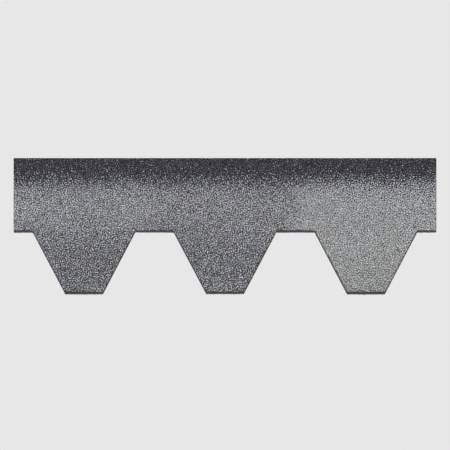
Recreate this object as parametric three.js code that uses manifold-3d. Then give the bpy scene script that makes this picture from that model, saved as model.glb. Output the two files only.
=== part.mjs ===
// A three-tab hexagonal asphalt roof shingle: one die-cut strip of granule-faced bitumen sheet,
// lying flat with its granule face up. Laid in courses that are half a tab apart, its tabs and
// the notches between them show as rows of hexagons.
//
// Millimetres. X runs along the strip, Y points up the roof slope and Z out of the roof.
// The origin is on the underside, in the middle of the strip's length and width.

import * as THREE from "three";
import { mergeVertices } from "three/addons/utils/BufferGeometryUtils.js";
import Module from "manifold-3d";

// Driving dimensions.
const STRIP_LENGTH = 1000;
const TAB_COUNT = 3;
const TAB_DEPTH = 145; // tip to notch root, which is the exposure of one course
const TAB_TIP_WIDTH = 90;
const HEADLAP_WIDTH = 172; // the uncut part, which the courses above cover
const SHEET_THICKNESS = 3.2; // coated glass-fleece sheet with its granules pressed in
const DIE_CORNER_RADIUS = 1.5; // at the corners of the cutting die
const CHIPPED_RIM = 0.5; // granules lost along the cut rim of the upper face
const RIM_SEGMENTS = 3; // flats across the chipped rim
const CORNER_SEGMENTS = 4; // flats round each die corner

// Strips are cut in nested pairs, the tabs of one out of the notches of the other, so a notch
// has a tab's outline turned over: its root is as wide as a tab's tip.
const NOTCH_ROOT_WIDTH = TAB_TIP_WIDTH;
const TAB_PITCH = STRIP_LENGTH / TAB_COUNT;

const STRIP_WIDTH = TAB_DEPTH + HEADLAP_WIDTH;
const TIP_Y = -STRIP_WIDTH / 2;
const ROOT_Y = TIP_Y + TAB_DEPTH;
const TOP_Y = ROOT_Y + HEADLAP_WIDTH;
const END_X = STRIP_LENGTH / 2;

// One tab as four corners, from its left root to its right root.
function tabCorners(centreX) {
  const halfTip = TAB_TIP_WIDTH / 2;
  const halfRoot = (TAB_PITCH - NOTCH_ROOT_WIDTH) / 2;
  return [
    new THREE.Vector2(centreX - halfRoot, ROOT_Y),
    new THREE.Vector2(centreX - halfTip, TIP_Y),
    new THREE.Vector2(centreX + halfTip, TIP_Y),
    new THREE.Vector2(centreX + halfRoot, ROOT_Y),
  ];
}

// The strip's corners, anticlockwise. Each end is cut through the middle of a notch, so that
// two strips butted end to end share one whole notch.
function stripCorners() {
  const corners = [new THREE.Vector2(-END_X, ROOT_Y)];
  for (let tab = 0; tab < TAB_COUNT; tab++) {
    corners.push(...tabCorners(-END_X + (tab + 0.5) * TAB_PITCH));
  }
  corners.push(new THREE.Vector2(END_X, ROOT_Y));
  corners.push(new THREE.Vector2(END_X, TOP_Y));
  corners.push(new THREE.Vector2(-END_X, TOP_Y));
  return corners;
}

// A closed outline through these corners, each one an arc of the given radius. The arc turns
// with the outline at an outer corner and against it at an inner one.
function roundedOutline(corners, radius) {
  const outline = new THREE.Shape();
  corners.forEach((corner, i) => {
    const before = corners[(i + corners.length - 1) % corners.length];
    const after = corners[(i + 1) % corners.length];
    const arriving = corner.clone().sub(before).normalize();
    const leaving = after.clone().sub(corner).normalize();
    const turn = Math.atan2(arriving.cross(leaving), arriving.dot(leaving));
    const side = Math.sign(turn);
    const setback = radius * Math.tan(Math.abs(turn) / 2);
    const start = corner.clone().addScaledVector(arriving, -setback);
    const inwards = new THREE.Vector2(-arriving.y, arriving.x).multiplyScalar(side);
    const centre = start.clone().addScaledVector(inwards, radius);
    const startAngle = Math.atan2(-inwards.y, -inwards.x);
    outline.absarc(centre.x, centre.y, radius, startAngle, startAngle + turn, side < 0);
  });
  outline.closePath();
  return outline;
}

// A geometry as a closed solid that can be cut, with each shared corner held once.
function solidOf(wasm, geometry) {
  const bare = geometry.clone().deleteAttribute("normal").deleteAttribute("uv");
  const merged = mergeVertices(bare);
  return new wasm.Manifold(
    new wasm.Mesh({
      numProp: 3,
      vertProperties: merged.attributes.position.array,
      triVerts: new Uint32Array(merged.index.array),
    }),
  );
}

// The cut solid's faces as a geometry again.
function geometryOf(solid) {
  const { vertProperties, triVerts } = solid.getMesh();
  return new THREE.BufferGeometry()
    .setAttribute("position", new THREE.BufferAttribute(vertProperties, 3))
    .setIndex(new THREE.BufferAttribute(triVerts, 1));
}

// The sheet is extruded with a rounded rim on both faces, from below the deck, and then cut off
// at the deck, because only the granule face loses its rim. The die leaves the underside square.
function shingleStrip(wasm) {
  const extruded = new THREE.ExtrudeGeometry(
    roundedOutline(stripCorners(), DIE_CORNER_RADIUS),
    {
      depth: SHEET_THICKNESS - CHIPPED_RIM,
      curveSegments: CORNER_SEGMENTS,
      bevelEnabled: true,
      bevelThickness: CHIPPED_RIM,
      bevelSize: CHIPPED_RIM,
      bevelOffset: -CHIPPED_RIM,
      bevelSegments: RIM_SEGMENTS,
    },
  );
  const belowDeck = new THREE.BoxGeometry(
    STRIP_LENGTH * 2,
    STRIP_WIDTH * 2,
    CHIPPED_RIM * 2,
  ).translate(0, 0, -CHIPPED_RIM);
  const sheet = solidOf(wasm, extruded).subtract(solidOf(wasm, belowDeck));
  const material = new THREE.MeshStandardMaterial({
    color: 0x797a7e,
    roughness: 0.92,
    metalness: 0,
    flatShading: true,
  });
  const mesh = new THREE.Mesh(geometryOf(sheet), material);
  mesh.name = "shingle_strip";
  return mesh;
}

const wasm = await Module();
wasm.setup();

const shingle = new THREE.Group();
shingle.add(shingleStrip(wasm));

export default shingle;
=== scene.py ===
# The looks of a three-tab hexagonal asphalt shingle strip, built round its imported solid.
# Metres. X runs along the strip, Y points up the roof slope and Z out of the roof.

import math

import bpy
import numpy as np
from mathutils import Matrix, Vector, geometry


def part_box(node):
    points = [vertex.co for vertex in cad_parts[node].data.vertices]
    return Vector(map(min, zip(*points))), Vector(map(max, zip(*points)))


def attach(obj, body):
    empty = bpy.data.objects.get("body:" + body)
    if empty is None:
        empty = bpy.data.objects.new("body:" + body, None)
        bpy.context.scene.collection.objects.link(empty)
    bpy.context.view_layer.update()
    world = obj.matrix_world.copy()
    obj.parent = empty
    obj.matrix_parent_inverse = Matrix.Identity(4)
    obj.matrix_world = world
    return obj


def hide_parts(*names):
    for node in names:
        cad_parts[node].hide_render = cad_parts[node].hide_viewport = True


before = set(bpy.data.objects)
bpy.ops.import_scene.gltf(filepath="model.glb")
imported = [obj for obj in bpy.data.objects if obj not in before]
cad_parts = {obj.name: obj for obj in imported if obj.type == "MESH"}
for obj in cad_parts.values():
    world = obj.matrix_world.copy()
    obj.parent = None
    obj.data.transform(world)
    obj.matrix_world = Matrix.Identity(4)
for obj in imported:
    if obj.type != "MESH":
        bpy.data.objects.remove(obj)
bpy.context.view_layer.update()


# ---------------------------------------------------------------------------------------
# Bitumen sheet: glass fleece soaked and coated with bitumen, stamped out by a steel-rule die.
# The tabs of one strip come out of the notches of the next. The granules are pressed into its
# face, the tabs have self-adhesive bitumen on their backs, and the rest of the back is sanded.

strip_low, strip_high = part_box("shingle_strip")
STRIP_LENGTH = strip_high.x - strip_low.x
THICKNESS = strip_high.z
MM = 0.001
TAB_COUNT = 3
TAB_DEPTH = 145 * MM
TAB_TIP = 90 * MM
NOTCH_ROOT = TAB_TIP
DIE_CORNER = 1.5 * MM

TAB_PITCH = STRIP_LENGTH / TAB_COUNT
HALF_TIP = TAB_TIP / 2
HALF_ROOT = (TAB_PITCH - NOTCH_ROOT) / 2  # half a tab's width at the notch roots
TIP_Y = strip_low.y
ROOT_Y = TIP_Y + TAB_DEPTH
TOP_Y = strip_high.y
END_X = STRIP_LENGTH / 2
TAB_CENTRES = [(tab + 0.5) * TAB_PITCH - END_X for tab in range(TAB_COUNT)]


def strip_corners():
    """The strip's sharp corners, anticlockwise from the left end of its notch line."""
    corners = [(-END_X, ROOT_Y)]
    for x in TAB_CENTRES:
        corners += [(x - HALF_ROOT, ROOT_Y), (x - HALF_TIP, TIP_Y)]
        corners += [(x + HALF_TIP, TIP_Y), (x + HALF_ROOT, ROOT_Y)]
    corners += [(END_X, ROOT_Y), (END_X, TOP_Y), (-END_X, TOP_Y)]
    return np.array(corners)


def corner_arc(before, corner, after, radius, step):
    """Points round one corner of an outline, as an arc."""
    arriving, leaving = corner - before, after - corner
    arriving /= np.hypot(*arriving)
    leaving /= np.hypot(*leaving)
    turn = math.atan2(arriving[0] * leaving[1] - arriving[1] * leaving[0], arriving @ leaving)
    start = corner - arriving * radius * math.tan(abs(turn) / 2)
    centre = start + math.copysign(radius, turn) * np.array([-arriving[1], arriving[0]])
    arm = start - centre
    angles = np.linspace(0, turn, math.ceil(abs(turn) * radius / step) + 2)
    cos, sin = np.cos(angles), np.sin(angles)
    return centre + np.stack([cos * arm[0] - sin * arm[1], sin * arm[0] + cos * arm[1]], 1)


def die_outline(corners, radius, step):
    """Points round the closed outline, at most a step apart."""
    arcs = [
        corner_arc(corners[i - 1], corners[i], corners[(i + 1) % len(corners)], radius, step)
        for i in range(len(corners))
    ]
    points = []
    for arc, following in zip(arcs, arcs[1:] + arcs[:1]):
        run = following[0] - arc[-1]
        stops = np.arange(1, math.ceil(np.hypot(*run) / step)) * step / np.hypot(*run)
        points += [arc, arc[-1] + run * stops[:, None]]
    return np.concatenate(points)


def depth_inside(points):
    """How far inside the strip each point is, and below 0 outside it."""
    corners = strip_corners()
    nearest = np.full(len(points), np.inf)
    for a, b in zip(corners, np.roll(corners, -1, axis=0)):
        along = np.clip((points - a) @ (b - a) / ((b - a) @ (b - a)), 0, 1)
        gap = points - a - along[:, None] * (b - a)
        nearest = np.minimum(nearest, np.hypot(gap[:, 0], gap[:, 1]))
    x, y = points.T
    from_tab = np.min([abs(x - centre) for centre in TAB_CENTRES], axis=0)
    drop = (ROOT_Y - y) / TAB_DEPTH
    half_width = HALF_ROOT * (1 - drop) + HALF_TIP * drop
    in_tab = (from_tab < half_width) & (y > TIP_Y) & (y < ROOT_Y)
    in_body = (y >= ROOT_Y) & (y < TOP_Y) & (abs(x) < END_X)
    return np.where(in_tab | in_body, nearest, -nearest)


# A fresh strip isn't quite flat on the floor. It swells a little, in two slanting waves, and
# each tab's tip stands up by its own small amount.
SWELL = 0.25 * MM  # height of each wave
SWELL_WAVES = [(8.3, 5.1, 0.6), (13.7, -9.2, 2.1)]  # radians a metre along and up, start
TIP_LIFTS = [0.9 * MM, 0.35 * MM, 0.7 * MM]


def lift(x, y):
    """How far the sheet stands off the floor."""
    swell = sum(1 + np.sin(along * x + up * y + start) for along, up, start in SWELL_WAVES)
    down = np.clip((ROOT_Y - y) / TAB_DEPTH, 0, 1) ** 2
    tip = sum(
        height * np.clip(1 - abs(x - centre) / TAB_PITCH * 2, 0, 1)
        for centre, height in zip(TAB_CENTRES, TIP_LIFTS)
    )
    return SWELL / 2 * swell + down * tip


# The granules fall on the hot sheet from a row of three hoppers, each with its own mix of seven
# shades of crushed, ceramic-coated stone. The right one's is pale with dark specks. The mixes
# get darker towards the tab tips and end in a dark shadow line along the headlap.
GRANULES = {  # shade: its colour in linear light
    "black": (0.02, 0.019, 0.0255),
    "charcoal": (0.062, 0.0605, 0.0725),
    "slate": (0.13, 0.13, 0.148),
    "ash": (0.2215, 0.224, 0.243),
    "silver": (0.349, 0.3555, 0.37),
    "pale": (0.515, 0.5265, 0.539),
    "white": (0.717, 0.733, 0.74),
}


def mix(middle, spread):
    """The share of each shade in a mix whose shades lie round the middle one."""
    shares = np.exp(-(((np.arange(len(GRANULES)) - middle) / spread) ** 2) / 2)
    return shares / shares.sum()


LEFT_MIX, LEFT_TIP_MIX = mix(6.5, 5.0), mix(2.35, 2.4)
MIDDLE_MIX, MIDDLE_TIP_MIX = mix(4.2, 4.6), mix(2.4, 2.8)
DARK_SPECKS = mix(0.4, 1.2)
RIGHT_MIX = 0.88 * mix(4.65, 1.05) + 0.12 * DARK_SPECKS
RIGHT_TIP_MIX = 0.85 * mix(4.4, 0.95) + 0.15 * DARK_SPECKS
SHADOW_MIX = mix(-0.15, 1.55)
HOPPER_BLUR = 35 * MM
HOPPER_WAVES = [(6 * MM, 61, 1.3), (4 * MM, 143, 0.0)]  # width, radians a metre up, start
TIP_MIX_BELOW, FULL_MIX_ABOVE = 75 * MM, 195 * MM  # heights above the tab tips
RIGHT_FULL_MIX_ABOVE = 125 * MM
SHADOW_LINE, SHADOW_BLUR = 257 * MM, 10.7 * MM


def smooth(low, high, value):
    """A soft step from 0 at low to 1 at high, as a column."""
    t = np.clip((value - low) / (high - low), 0, 1)
    return (t * t * (3 - 2 * t))[:, None]


def turned(a, b, share):
    """Mix a turned into mix b by this share."""
    return a + (b - a) * share


def shares_at(x, y):
    """The share of each shade at each point, one row a point."""
    height = y - TIP_Y
    border = x + sum(width * np.sin(pace * y + start) for width, pace, start in HOPPER_WAVES)
    in_middle = smooth(-HOPPER_BLUR, HOPPER_BLUR, border + TAB_PITCH / 2)
    in_right = smooth(-HOPPER_BLUR, HOPPER_BLUR, border - TAB_PITCH / 2)
    full = smooth(TIP_MIX_BELOW, FULL_MIX_ABOVE, height)
    left = turned(LEFT_TIP_MIX, LEFT_MIX, full)
    middle = turned(MIDDLE_TIP_MIX, MIDDLE_MIX, full)
    right = turned(RIGHT_TIP_MIX, RIGHT_MIX, smooth(0, RIGHT_FULL_MIX_ABOVE, height))
    shares = turned(turned(left, middle, in_middle), right, in_right)
    shadow = 1 / (1 + np.exp((SHADOW_LINE - height) / SHADOW_BLUR))
    return turned(shares, SHADOW_MIX, shadow[:, None])


scene = bpy.context.scene


def mesh_piece(name, points, triangles, uv=None):
    """An object made of triangles, with a UV place for each corner of each triangle."""
    mesh = bpy.data.meshes.new(name)
    mesh.vertices.add(len(points))
    mesh.vertices.foreach_set("co", np.asarray(points, np.float32).ravel())
    mesh.loops.add(triangles.size)
    mesh.loops.foreach_set("vertex_index", triangles.astype(np.int32).ravel())
    mesh.polygons.add(len(triangles))
    mesh.polygons.foreach_set("loop_start", np.arange(0, triangles.size, 3, dtype=np.int32))
    mesh.update(calc_edges=True)
    if uv is not None:
        layer = mesh.uv_layers.new(name="OFBake")
        layer.uv.foreach_set("vector", np.asarray(uv, np.float32).ravel())
    piece = bpy.data.objects.new(name, mesh)
    scene.collection.objects.link(piece)
    return piece


# The sheet's section at its edge, from the underside up: how far in from the die line, and
# how high. The bitumen ends lower than the granules that stand in it.
EDGE_SECTION = np.array(
    [(0.1, 0), (0.02, 0.3), (0, 0.8), (0.04, 1.3), (0, 1.8), (0.06, 2.2), (0.28, 2.45)]
) * MM
BED_HEIGHT = EDGE_SECTION[-1, 1]
BED_ROUGHNESS = 0.04 * MM
TEAR, STREAK = 0.06 * MM, 0.1 * MM  # depth of the cut edge's pits and of its streaks
DIE_STEP = 1.2 * MM  # between the points round the outline
BED_STEP = 6 * MM  # between the points inside it

rng = np.random.default_rng(seed=41)
rim = die_outline(strip_corners(), DIE_CORNER, DIE_STEP)
rim_count = len(rim)
ahead = np.roll(rim, -1, axis=0) - np.roll(rim, 1, axis=0)
inwards = np.stack([-ahead[:, 1], ahead[:, 0]], 1) / np.hypot(*ahead.T)[:, None]

streak = STREAK * rng.random(rim_count)
edge_rows = []
for inset, height in EDGE_SECTION:
    torn = inset + streak + TEAR * rng.random(rim_count)
    x, y = (rim + inwards * torn[:, None]).T
    edge_rows.append(np.stack([x, y, height + lift(x, y)], 1))
row_count = len(edge_rows)

grid = np.mgrid[-END_X:END_X:BED_STEP, TIP_Y:TOP_Y:BED_STEP].reshape(2, -1).T
grid = grid[depth_inside(grid) > BED_STEP / 2]
x, y = grid.T
bumps = BED_ROUGHNESS * rng.standard_normal(len(grid))
bed = np.stack([x, y, BED_HEIGHT + lift(x, y) + bumps], 1)
back = np.stack([x, y, lift(x, y)], 1)
points = np.concatenate([*edge_rows, bed, back])

# One triangulation of the outline and the points inside it serves for the face and the back.
INSIDE_ONLY = 1
SAME_POINT = 1e-7  # points nearer than this are one
outline_and_grid = np.concatenate([edge_rows[-1][:, :2], grid])
_, _, cut_faces, origins, _, _ = geometry.delaunay_2d_cdt(
    [tuple(p) for p in outline_and_grid], [], [list(range(rim_count))], INSIDE_ONLY, SAME_POINT
)
origin = np.array([ids[0] for ids in origins])
lid = origin[np.array(cut_faces)]
on_rim = lid < rim_count
bed_start = row_count * rim_count
face = np.where(on_rim, lid + bed_start - rim_count, lid - rim_count + bed_start)
underside = np.where(on_rim, lid, lid - rim_count + bed_start + len(grid))[:, ::-1]

here = np.arange(rim_count)
there = np.roll(here, -1)
walls = []
for row in range(row_count - 1):
    low, high = row * rim_count, (row + 1) * rim_count
    walls.append(np.stack([low + here, low + there, high + there], 1))
    walls.append(np.stack([low + here, high + there, high + here], 1))
walls = np.concatenate(walls)
triangles = np.concatenate([face, walls, underside])
FACE, EDGE, BACK = 0, 1, 2
surface = np.repeat([FACE, EDGE, BACK], [len(face), len(walls), len(underside)])

# Each triangle's place on the baked picture of the sheet: its face, its back, and above them
# the cut edge, unrolled in three lengths and drawn much wider than it is.
PICTURE_LENGTH = 0.992
PICTURE_MARGIN = 0.004
BACK_ROW, EDGE_ROW, EDGE_ROW_HEIGHT = 0.328, 0.655, 0.11
EDGE_ROW_MARGIN = 0.05  # of its height
EDGE_ROW_LENGTH = 970 * MM

uv = (points[triangles][:, :, :2] - [-END_X, TIP_Y]) / STRIP_LENGTH * PICTURE_LENGTH + PICTURE_MARGIN
uv[surface == BACK, :, 1] += BACK_ROW - PICTURE_MARGIN
run = np.concatenate([[0], np.cumsum(np.hypot(*(np.roll(rim, -1, axis=0) - rim).T))])
wall_at = np.tile(here, 2 * (row_count - 1))
wall_row = np.repeat(np.arange(row_count - 1), 2 * rim_count)
second = np.tile(np.repeat([False, True], rim_count), row_count - 1)[:, None]
steps = np.where(second, [0, 1, 0], [0, 1, 1])
rises = np.where(second, [0, 1, 1], [0, 0, 1])
edge_row = np.floor(run[wall_at] / EDGE_ROW_LENGTH)[:, None]
along = run[wall_at[:, None] + steps] / EDGE_ROW_LENGTH - edge_row
level = EDGE_SECTION[:, 1] / BED_HEIGHT
up = EDGE_ROW_MARGIN + (1 - 2 * EDGE_ROW_MARGIN) * level[wall_row[:, None] + rises]
uv[surface == EDGE, :, 0] = along * PICTURE_LENGTH + PICTURE_MARGIN
uv[surface == EDGE, :, 1] = EDGE_ROW + (edge_row + up) * EDGE_ROW_HEIGHT

sheet = mesh_piece("bitumen_sheet", points, triangles, uv)
sheet.data.polygons.foreach_set("material_index", surface.astype(np.int32))
sheet.data.polygons.foreach_set("use_smooth", surface != EDGE)

# For the shaders, each point has the mean colour of the granules over it, and how high it is in
# the sheet's thickness.
mean_colour = shares_at(points[:, 0], points[:, 1]) @ np.array(list(GRANULES.values()))
mean_colour = np.column_stack([mean_colour, np.ones(len(points))])
tones = sheet.data.color_attributes.new("granule_mean", "FLOAT_COLOR", "POINT")
tones.data.foreach_set("color", mean_colour.astype(np.float32).ravel())
levels = np.concatenate([np.repeat(level, rim_count), np.ones(len(bed)), np.zeros(len(back))])
heights = sheet.data.attributes.new("level", "FLOAT", "POINT")
heights.data.foreach_set("value", levels.astype(np.float32))


def shader_group(name, inputs):
    """A group of nodes with these inputs, each (name, type, value), and what they give."""
    tree = bpy.data.node_groups.new(name, "ShaderNodeTree")
    for label, kind, value in inputs:
        socket = tree.interface.new_socket(label, in_out="INPUT", socket_type="NodeSocket" + kind)
        socket.default_value = value
    for label, kind in (("Colour", "Color"), ("Roughness", "Float"), ("Height", "Float")):
        tree.interface.new_socket(label, in_out="OUTPUT", socket_type="NodeSocket" + kind)
    return tree, tree.nodes.new("NodeGroupInput").outputs


def group_result(tree, **sources):
    """Links the group's own results to its outputs."""
    result = tree.nodes.new("NodeGroupOutput")
    for name, source in sources.items():
        tree.links.new(source, result.inputs[name])


def add(tree, kind, inputs=None, **settings):
    """A shader node with these settings, whose inputs are linked or set."""
    node = tree.nodes.new("ShaderNode" + kind)
    for name, value in settings.items():
        setattr(node, name, value)
    for key, value in (inputs or {}).items():
        if isinstance(value, bpy.types.NodeSocket):
            tree.links.new(value, node.inputs[key])
        else:
            node.inputs[key].default_value = value
    return node


def times(tree, a, b):
    """The product of two numbers."""
    return add(tree, "Math", {0: a, 1: b}, operation="MULTIPLY").outputs[0]


def plus(tree, a, b):
    """The sum of two numbers."""
    return add(tree, "Math", {0: a, 1: b}, operation="ADD").outputs[0]


def ranged(tree, value, low, high, to_low=0.0, to_high=1.0):
    """The value taken from low..high to to_low..to_high, and held at those ends."""
    inputs = {"Value": value, 1: low, 2: high, 3: to_low, 4: to_high}
    return add(tree, "MapRange", inputs).outputs[0]


def between(tree, share, a, b):
    """The number that lies this share of the way from a to b."""
    return ranged(tree, share, 0, 1, a, b)


def varied(tree, lumps, a, b):
    """The same for a noise, most of which lies from 0.3 to 0.7."""
    return ranged(tree, lumps, 0.3, 0.7, a, b)


def blended(tree, share, a, b):
    """Colour a turned into colour b by this share."""
    return add(tree, "Mix", {0: share, 6: a, 7: b}, data_type="RGBA").outputs[2]


def scaled(tree, colour, by):
    """The colour times one number."""
    return add(tree, "VectorMath", {0: colour, "Scale": by}, operation="SCALE").outputs[0]


def tinted(tree, colour, by):
    """The colour, or place, times a number for each of its three parts."""
    return add(tree, "VectorMath", {0: colour, 1: by}, operation="MULTIPLY").outputs[0]


def on_strip(tree):
    """Where on the strip the shaded point is, in metres."""
    return add(tree, "TexCoord").outputs["Object"]


def noise(tree, lumps, detail=2.0, rough=0.5, stretch=1.0):
    """Noise with this many lumps a metre, drawn out along the strip by the stretch."""
    inputs = {"Vector": tinted(tree, on_strip(tree), (1 / stretch, 1, 1)), "Scale": lumps}
    inputs |= {"Detail": detail, "Roughness": rough}
    return add(tree, "TexNoise", inputs).outputs["Fac"]


def cells(tree, count, feature="F1"):
    """Cells like packed grains, this many a metre."""
    inputs = {"Vector": on_strip(tree), "Scale": count}
    return add(tree, "TexVoronoi", inputs, feature=feature).outputs


def material(name, looks, relief, gloss, **settings):
    """A material that takes its colour, roughness and relief from a group with these settings."""
    made = bpy.data.materials.new(name)
    made.use_nodes = True
    tree = made.node_tree
    shader = tree.nodes["Principled BSDF"].inputs
    group = tree.nodes.new("ShaderNodeGroup")
    group.node_tree = looks
    for label, value in settings.items():
        group.inputs[label].default_value = value
    bump = add(tree, "Bump", {"Height": group.outputs["Height"], "Distance": relief})
    tree.links.new(group.outputs["Colour"], shader["Base Color"])
    tree.links.new(group.outputs["Roughness"], shader["Roughness"])
    tree.links.new(bump.outputs[0], shader["Normal"])
    shader["Specular IOR Level"].default_value = gloss
    return made


# Between the large granules lie small ones, pressed flush into the tar.
FINES = 1100.0  # grains a metre
FINES_GAP = 0.02, 0.08  # tar between two grains, as a share of a grain
FINES_TONES = 0.3, 1.7  # darkest and lightest grain, times their mean colour
BED_TAR = (0.01, 0.01, 0.012, 1)
BED_TAR_ROUGH, FINES_ROUGH = 0.55, 0.9

fines, given = shader_group("granule_bed", [("Grains", "Float", FINES), ("Tar", "Color", BED_TAR)])
grain = cells(fines, given["Grains"])["Color"]
from_gap = cells(fines, given["Grains"], "DISTANCE_TO_EDGE")["Distance"]
stone_share = ranged(fines, from_gap, *FINES_GAP)
mean = add(fines, "Attribute", attribute_name="granule_mean").outputs["Color"]
stone = scaled(fines, mean, between(fines, grain, *FINES_TONES))
group_result(
    fines,
    Colour=blended(fines, stone_share, given["Tar"], stone),
    Roughness=between(fines, stone_share, BED_TAR_ROUGH, FINES_ROUGH),
    Height=stone_share,
)

# The cut edge is tar-black, dragged up and down by the die, with broken granules at its top.
EDGE_TAR = (0.012, 0.012, 0.013, 1)
EDGE_TONES = 0.6, 1.8  # darkest and lightest tar, times its colour
EDGE_ROUGH = 0.5, 0.75
EDGE_LUMPS, EDGE_STONES = 1400, 900  # a metre
BROKEN_STONE = (0.25, 0.25, 0.26, 1)
STONE_ABOVE = 0.55, 0.6  # a cell's own number, from no broken stone to all of one
BROKEN_ABOVE = 0.86, 0.95  # height in the sheet, from no broken stones to all of them
BROKEN_WAVER = 0.25

cut_tar, given = shader_group(
    "die_cut_tar", [("Tar", "Color", EDGE_TAR), ("Broken Stone", "Float", 0.5)]
)
lumps = noise(cut_tar, EDGE_LUMPS, detail=4, rough=0.6)
is_stone = ranged(cut_tar, cells(cut_tar, EDGE_STONES)["Color"], *STONE_ABOVE)
height_in_sheet = add(cut_tar, "Attribute", attribute_name="level").outputs["Fac"]
wavering = plus(cut_tar, height_in_sheet, times(cut_tar, lumps, BROKEN_WAVER))
near_top = ranged(cut_tar, wavering, *BROKEN_ABOVE)
broken = times(cut_tar, times(cut_tar, is_stone, near_top), given["Broken Stone"])
tar = scaled(cut_tar, given["Tar"], varied(cut_tar, lumps, *EDGE_TONES))
group_result(
    cut_tar,
    Colour=blended(cut_tar, broken, tar, BROKEN_STONE),
    Roughness=varied(cut_tar, lumps, *EDGE_ROUGH),
    Height=lumps,
)

# The back is dusted with fine sand, but for the tabs, which are coated with sticky bitumen. The
# coater leaves faint streaks along the strip, and some sand strays on to the sticky tabs.
SAND = (0.2, 0.187, 0.163, 1)
SAND_TONES, PATCH_TONES = (0.7, 1.35), (0.84, 1.12)  # darkest and lightest, times the sand
SAND_GRAINS, SAND_PATCHES = 2600, 42  # a metre
THIN_COVER, FULL_COVER = 0.5, 0.85
SAND_ABOVE = 0.72, 1.0  # a grain's own number plus the cover, from no sand to all
STICKY_UP_TO = ROOT_Y - 10 * MM
SAND_EDGE = 0.4 * MM
EDGE_WAVER, WAVER_LUMPS = 6 * MM, 45  # how far the sand's edge wavers, lumps a metre
STRAY_REACH = 40 * MM
FEW_STRAYS, MOST_STRAYS = 0.01, 0.12
STRAY_ABOVE = 0.86, 0.9  # the same for a stray grain

BACK_TAR = (0.014, 0.014, 0.015, 1)
BACK_TAR_TONES = 0.6, 1.7
COATER_STREAKS, COATER_RIPPLES = 260, 130  # a metre
BACK_TAR_ROUGH, SAND_ROUGH, STREAK_ROUGH = 0.32, 0.88, 0.09
SAND_RELIEF, RIPPLE_RELIEF, STREAK_RELIEF = 0.5, 0.5, 0.25

sanded, given = shader_group(
    "sanded_back",
    [("Sand", "Color", SAND), ("Tar", "Color", BACK_TAR), ("Sticky Up To", "Float", STICKY_UP_TO)],
)
up_slope = add(sanded, "SeparateXYZ", {0: on_strip(sanded)}).outputs["Y"]
waver = times(sanded, plus(sanded, noise(sanded, WAVER_LUMPS, detail=3), -0.5), EDGE_WAVER)
inputs = {0: plus(sanded, up_slope, waver), 1: given["Sticky Up To"]}
past = add(sanded, "Math", inputs, operation="SUBTRACT").outputs[0]
sand_grain = cells(sanded, SAND_GRAINS)["Color"]
patches = noise(sanded, SAND_PATCHES, detail=3, rough=0.6, stretch=2.5)
cover = varied(sanded, patches, THIN_COVER, FULL_COVER)
sandy = ranged(sanded, plus(sanded, cover, sand_grain), *SAND_ABOVE)
chance = ranged(sanded, past, -STRAY_REACH, 0, FEW_STRAYS, MOST_STRAYS)
stray = ranged(sanded, plus(sanded, sand_grain, chance), *STRAY_ABOVE)
sand_share = between(sanded, ranged(sanded, past, -SAND_EDGE, SAND_EDGE), stray, sandy)
grain_tone = between(sanded, sand_grain, *SAND_TONES)
patch_tone = varied(sanded, patches, *PATCH_TONES)
sand = scaled(sanded, given["Sand"], times(sanded, grain_tone, patch_tone))
streaks = noise(sanded, COATER_STREAKS, detail=3, rough=0.6, stretch=14)
coated = scaled(sanded, given["Tar"], varied(sanded, streaks, *BACK_TAR_TONES))
rough = between(sanded, sand_share, BACK_TAR_ROUGH, SAND_ROUGH)
ripples = times(sanded, noise(sanded, COATER_RIPPLES), RIPPLE_RELIEF)
coat_relief = plus(sanded, ripples, times(sanded, streaks, STREAK_RELIEF))
group_result(
    sanded,
    Colour=blended(sanded, sand_share, coated, sand),
    Roughness=plus(sanded, rough, varied(sanded, streaks, -STREAK_ROUGH, STREAK_ROUGH)),
    Height=plus(sanded, times(sanded, sand_share, SAND_RELIEF), coat_relief),
)

TAR_GLOSS, STONE_GLOSS = 0.5, 0.2  # how strongly each shines, from 0 to 1
BED_RELIEF, EDGE_RELIEF, BACK_RELIEF = 0.3 * MM, 0.15 * MM, 0.2 * MM
sheet.data.materials.append(material("granule_bed", fines, BED_RELIEF, STONE_GLOSS))
sheet.data.materials.append(material("die_cut_edge", cut_tar, EDGE_RELIEF, TAR_GLOSS))
sheet.data.materials.append(material("sanded_back", sanded, BACK_RELIEF, TAR_GLOSS))

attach(sheet, "root")
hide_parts("shingle_strip")


# ---------------------------------------------------------------------------------------
# Granules: crushed stone, fired with a coloured ceramic coat and rolled into the hot sheet.
# Every granule is its own chip, sunk by about a third of its height. One piece holds all the
# chips of one shade.

CHIP_STEP = 1.56 * MM  # between chips that lie side by side
CHIP_STRAY = 0.36  # of the step, off the even pattern
BARE_RIM = 0.7 * MM  # from the die line to the middle of the nearest chips

rng = np.random.default_rng(seed=77)
row_step = CHIP_STEP * math.sqrt(3) / 2
columns = np.arange(-END_X, END_X + CHIP_STEP, CHIP_STEP)
lines = np.arange(TIP_Y, TOP_Y + row_step, row_step)
x, y = np.meshgrid(columns, lines)
x[1::2] += CHIP_STEP / 2
spots = np.stack([x.ravel(), y.ravel()], 1)
spots += CHIP_STEP * rng.uniform(-CHIP_STRAY, CHIP_STRAY, spots.shape)
spot_depth = depth_inside(spots)
spots, spot_depth = spots[spot_depth > BARE_RIM], spot_depth[spot_depth > BARE_RIM]
count = len(spots)

# Light and dark chips lie well mixed. Each chip takes its rank, from the darkest of its mix to
# the lightest, from a field of random waves about three chips long, in which the darkest chips
# keep to small lone specks, and in part from itself.
SPECKLE = 4.6 * MM  # length of the strongest waves
LONG_WAVES = 0.2  # strength of much longer ones
SPECK_WAVES = 9 * MM  # length of the waves whose crests and troughs are the dark specks
SPECK_DEPTH = 0.7  # weight of the dark specks, with the speckle's as 1
OWN_WEIGHT = 0.35  # of a chip's own number
FIELD_CELL = 0.5 * MM

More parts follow.
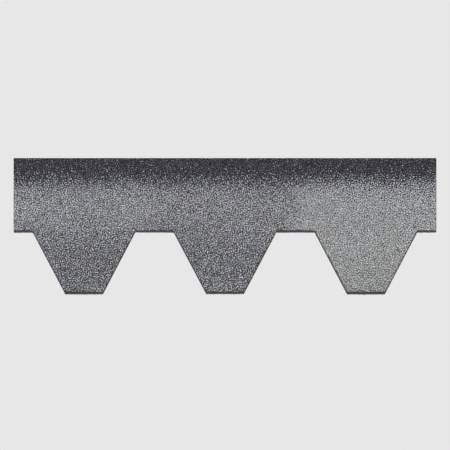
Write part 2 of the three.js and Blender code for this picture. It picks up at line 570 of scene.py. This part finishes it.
field_size = [int(side / FIELD_CELL) + 2 for side in (TOP_Y - TIP_Y, 2 * END_X)]
waves_up = np.fft.fftfreq(field_size[0], FIELD_CELL)[:, None]
waves_along = np.fft.rfftfreq(field_size[1], FIELD_CELL)
waves = np.hypot(waves_up, waves_along)  # a metre


def filtered(field, strength):
    """The field with each of its waves made this much stronger or weaker."""
    return np.fft.irfft2(np.fft.rfft2(field) * strength, s=field_size)


def random_field(strength):
    """A field of random waves of these strengths, with a spread of 1."""
    field = filtered(rng.normal(size=field_size), strength)
    return field / field.std()


fine, coarse = waves * SPECKLE, waves * SPECK_WAVES
speckle = random_field((LONG_WAVES + fine**4) * np.exp(-(fine**6)))
specks = random_field(coarse**4 * np.exp(-(coarse**6))) ** 2
specks = filtered(specks, fine**6 / (1 + fine**6))  # their own long waves taken out
field = speckle - SPECK_DEPTH * specks
cell_along, cell_up = ((spots - [-END_X, TIP_Y]) / FIELD_CELL).astype(int).T
weight = field[cell_up, cell_along] + OWN_WEIGHT * rng.normal(size=count)
rank = (np.argsort(np.argsort(weight)) + 0.5) / count
shares = shares_at(spots[:, 0], spots[:, 1])
shade_of = (shares.cumsum(1) < rank[:, None]).sum(1)

# A chip has three upper and three lower points, set between each other round its middle. No
# two chips have the same size, slimness, turn, tilt or corners.
CHIP_RADIUS, RADIUS_SPREAD = 1.15 * MM, 0.17
CHIP_TALL, TALL_SPREAD = 0.95 * MM, 0.15
CHIP_TOP = THICKNESS - 0.1 * MM
SLIMMEST = 0.72  # width over length
TILT = 0.12  # as a slope
DEEPEST = 0.12 * MM  # below the others
CORNERS = 6
CORNER_ANGLES = np.radians([0, 120, 240, 60, 180, 300])
CORNER_REACH = np.array([0.88, 0.88, 0.88, 1, 1, 1])  # of the radius
CORNER_RISE = np.array([0.5, 0.5, 0.5, -0.5, -0.5, -0.5])  # of the height
ANGLE_SPREAD, RISE_SPREAD = 0.3, 0.12
SHORTEST, LONGEST = 0.8, 1.15  # times a corner's reach
CHIP_FACES = np.array(
    [(0, 1, 2), (5, 4, 3), (0, 3, 1), (1, 4, 2), (2, 5, 0), (3, 4, 1), (4, 5, 2), (5, 3, 0)]
)

radius = CHIP_RADIUS * np.exp(rng.normal(0, RADIUS_SPREAD, count))
slim = rng.uniform(SLIMMEST, 1, count)
tall = rng.uniform(1 - TALL_SPREAD, 1 + TALL_SPREAD, count)
tall *= CHIP_TALL * np.sqrt(radius / CHIP_RADIUS)
turn = rng.uniform(0, 2 * math.pi, count)
tilt = rng.normal(0, TILT, (count, 2))
sink = rng.uniform(0, DEEPEST, count)

angle = CORNER_ANGLES + rng.uniform(-ANGLE_SPREAD, ANGLE_SPREAD, (count, CORNERS))
reach = radius[:, None] * CORNER_REACH * rng.uniform(SHORTEST, LONGEST, (count, CORNERS))
rise = CORNER_RISE + rng.uniform(-RISE_SPREAD, RISE_SPREAD, (count, CORNERS))
along_chip, across_chip = reach * np.cos(angle), reach * np.sin(angle) * slim[:, None]
cos, sin = np.cos(turn)[:, None], np.sin(turn)[:, None]
chip_x = cos * along_chip - sin * across_chip
chip_y = sin * along_chip + cos * across_chip
chip_z = tall[:, None] * rise + chip_x * tilt[:, :1] + chip_y * tilt[:, 1:]
middle = CHIP_TOP - tall / 2 - sink + lift(spots[:, 0], spots[:, 1])
chips = np.stack([spots[:, :1] + chip_x, spots[:, 1:] + chip_y, middle[:, None] + chip_z], 2)

# The die cuts through the chips that reach over its line: their outer points are drawn back
# towards their middles until they lie inside it.
CUT_RIM = 0.4 * MM  # from the die line to the cut chips
WIDE_CHIP = 1.5 * CHIP_RADIUS  # about the furthest that a chip reaches
CUT_PASSES = 3
LEAST_FALL = 0.01 * MM  # in depth, from a chip's middle to a corner that is drawn back

near = np.flatnonzero(spot_depth < CUT_RIM + WIDE_CHIP)
cut_chips = chips[near]
inner = np.repeat(spot_depth[near], CORNERS)
centres = np.repeat(spots[near], CORNERS, axis=0)
for _ in range(CUT_PASSES):
    corners = cut_chips[:, :, :2].reshape(-1, 2)
    outer = depth_inside(corners)
    pull = np.clip((CUT_RIM - outer) / np.maximum(inner - outer, LEAST_FALL), 0, 1)[:, None]
    cut_chips[:, :, :2] = (corners + (centres - corners) * pull).reshape(-1, CORNERS, 2)
chips[near] = cut_chips

# The coats from the right hopper are a touch yellower than the others, most of all at the tip.
# Towards the shadow line every chip's colour is drawn bluer, and all along the strip the
# coats drift a little between bluer and yellower, redder and greener. Each chip is a little
# lighter or darker than its shade, and mottled.
RED, RIGHT_RED = 0.997, 1.0
BLUE, RIGHT_BLUE, RIGHT_TIP_BLUE = 1.011, 1.0, 0.957
LINE_BLUE = 0.042
LINE_FOOT, LINE_FULL = 225 * MM, 268 * MM  # heights above the tab tips
RED_DRIFT, BLUE_DRIFT = 0.02, 0.05
DRIFT_NOISE = 0.25, 0.75  # the noise at which a drift is full
RED_PATCHES, BLUE_PATCHES = 14, 20  # a metre
MOTTLE_SPOTS = 2600  # a metre
COAT_ROUGH = 0.95, 0.75
COAT_RELIEF = 0.1 * MM
GREY = (0.3, 0.3, 0.3, 1)

crushed, given = shader_group(
    "crushed_stone", [("Coat", "Color", GREY), ("Spread", "Float", 0.15), ("Mottle", "Float", 0.2)]
)
across = add(crushed, "SeparateXYZ", {0: on_strip(crushed)}).outputs
in_right = ranged(crushed, across["X"], TAB_PITCH / 2 - HOPPER_BLUR, TAB_PITCH / 2 + HOPPER_BLUR)
height = plus(crushed, across["Y"], -TIP_Y)
right_blue = ranged(crushed, height, 0, LINE_FOOT, RIGHT_TIP_BLUE, RIGHT_BLUE)
line_blue = ranged(crushed, height, LINE_FOOT, LINE_FULL, 0, LINE_BLUE)
redder = ranged(crushed, noise(crushed, RED_PATCHES), *DRIFT_NOISE, -RED_DRIFT, RED_DRIFT)
bluer = ranged(crushed, noise(crushed, BLUE_PATCHES), *DRIFT_NOISE, -BLUE_DRIFT, BLUE_DRIFT)
red = plus(crushed, redder, between(crushed, in_right, RED, RIGHT_RED))
blue = between(crushed, in_right, BLUE, right_blue)
blue = plus(crushed, plus(crushed, bluer, line_blue), blue)
tint = add(crushed, "CombineXYZ", {"X": red, "Y": 1.0, "Z": blue}).outputs[0]
own = between(crushed, add(crushed, "NewGeometry").outputs["Random Per Island"], -1, 1)
mottle = noise(crushed, MOTTLE_SPOTS, detail=3, rough=0.6)
mottled = times(crushed, between(crushed, mottle, -1, 1), given["Mottle"])
lightness = plus(crushed, plus(crushed, times(crushed, own, given["Spread"]), 1.0), mottled)
group_result(
    crushed,
    Colour=scaled(crushed, tinted(crushed, given["Coat"], tint), lightness),
    Roughness=varied(crushed, mottle, *COAT_ROUGH),
    Height=mottle,
)

for index, (shade, coat) in enumerate(GRANULES.items()):
    chosen = chips[shade_of == index]
    corners = chosen.reshape(-1, 3)
    faces = (CHIP_FACES + CORNERS * np.arange(len(chosen))[:, None, None]).reshape(-1, 3)
    on_picture = (corners[:, :2] - [-END_X, TIP_Y]) / [STRIP_LENGTH, TOP_Y - TIP_Y]
    heap = mesh_piece("granules_" + shade, corners, faces, on_picture[faces])
    stone = material("coated_stone_" + shade, crushed, COAT_RELIEF, STONE_GLOSS, Coat=(*coat, 1))
    heap.data.materials.append(stone)
    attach(heap, "root")


# ---------------------------------------------------------------------------------------
# Floor: a wide round studio floor, painted pale and matt. The strip lies on it unheld, with its
# granule face up.

FLOOR_RADIUS = 12.0
FLOOR_SIDES = 96
FLOOR_TONE = 0.8

turn = np.linspace(0, 2 * math.pi, FLOOR_SIDES, endpoint=False)
floor_rim = FLOOR_RADIUS * np.stack([np.cos(turn), np.sin(turn), np.zeros(FLOOR_SIDES)], 1)
side = np.arange(1, FLOOR_SIDES - 1)
floor = mesh_piece("floor", floor_rim, np.stack([np.zeros_like(side), side, side + 1], 1))
paint = bpy.data.materials.new("pale_paint")
paint.use_nodes = True
coat = paint.node_tree.nodes["Principled BSDF"].inputs
coat["Base Color"].default_value = (FLOOR_TONE, FLOOR_TONE, FLOOR_TONE, 1)
coat["Roughness"].default_value = 1.0
coat["Specular IOR Level"].default_value = 0.0
floor.data.materials.append(paint)


# ---------------------------------------------------------------------------------------
# Light: one soft lamp from up the slope, as low over the strip as a high sun is over a steep
# roof, and an even sky. Past the floor the sky is seen in the floor's own tone.

SUN_ELEVATION = math.radians(30)
SUN_WIDTH = math.radians(6)  # seen from the floor
SUN_SHARE = 0.9  # of the light on the floor, the rest being the sky's

lamp = bpy.data.lights.new("key", "SUN")
lamp.angle = SUN_WIDTH
lamp.energy = SUN_SHARE * math.pi / math.sin(SUN_ELEVATION)
key = bpy.data.objects.new("key", lamp)
key.rotation_euler = (SUN_ELEVATION - math.pi / 2, 0, 0)
scene.collection.objects.link(key)

sky = bpy.data.worlds.new("sky")
sky.use_nodes = True
seen = add(sky.node_tree, "LightPath").outputs
shown = plus(sky.node_tree, seen["Is Camera Ray"], seen["Is Glossy Ray"])
shown = plus(sky.node_tree, shown, seen["Is Transmission Ray"])
strength = between(sky.node_tree, shown, 1 - SUN_SHARE, FLOOR_TONE)
backdrop = sky.node_tree.nodes["Background"].inputs
backdrop["Color"].default_value = (1, 1, 1, 1)
sky.node_tree.links.new(strength, backdrop["Strength"])
scene.world = sky


# ---------------------------------------------------------------------------------------
# Camera: square above the granule face, far off behind a long lens, with the slope of the
# roof running up the picture. Colours are shown as they are written.

LENS = 150.0
VIEW_FILL = 0.94  # share of the picture's width that the strip takes

eye = bpy.data.cameras.new("camera")
eye.lens = LENS
camera = bpy.data.objects.new("camera", eye)
camera.location.z = THICKNESS + STRIP_LENGTH / VIEW_FILL * LENS / eye.sensor_width
scene.collection.objects.link(camera)
scene.camera = camera
scene.view_settings.view_transform = "Standard"
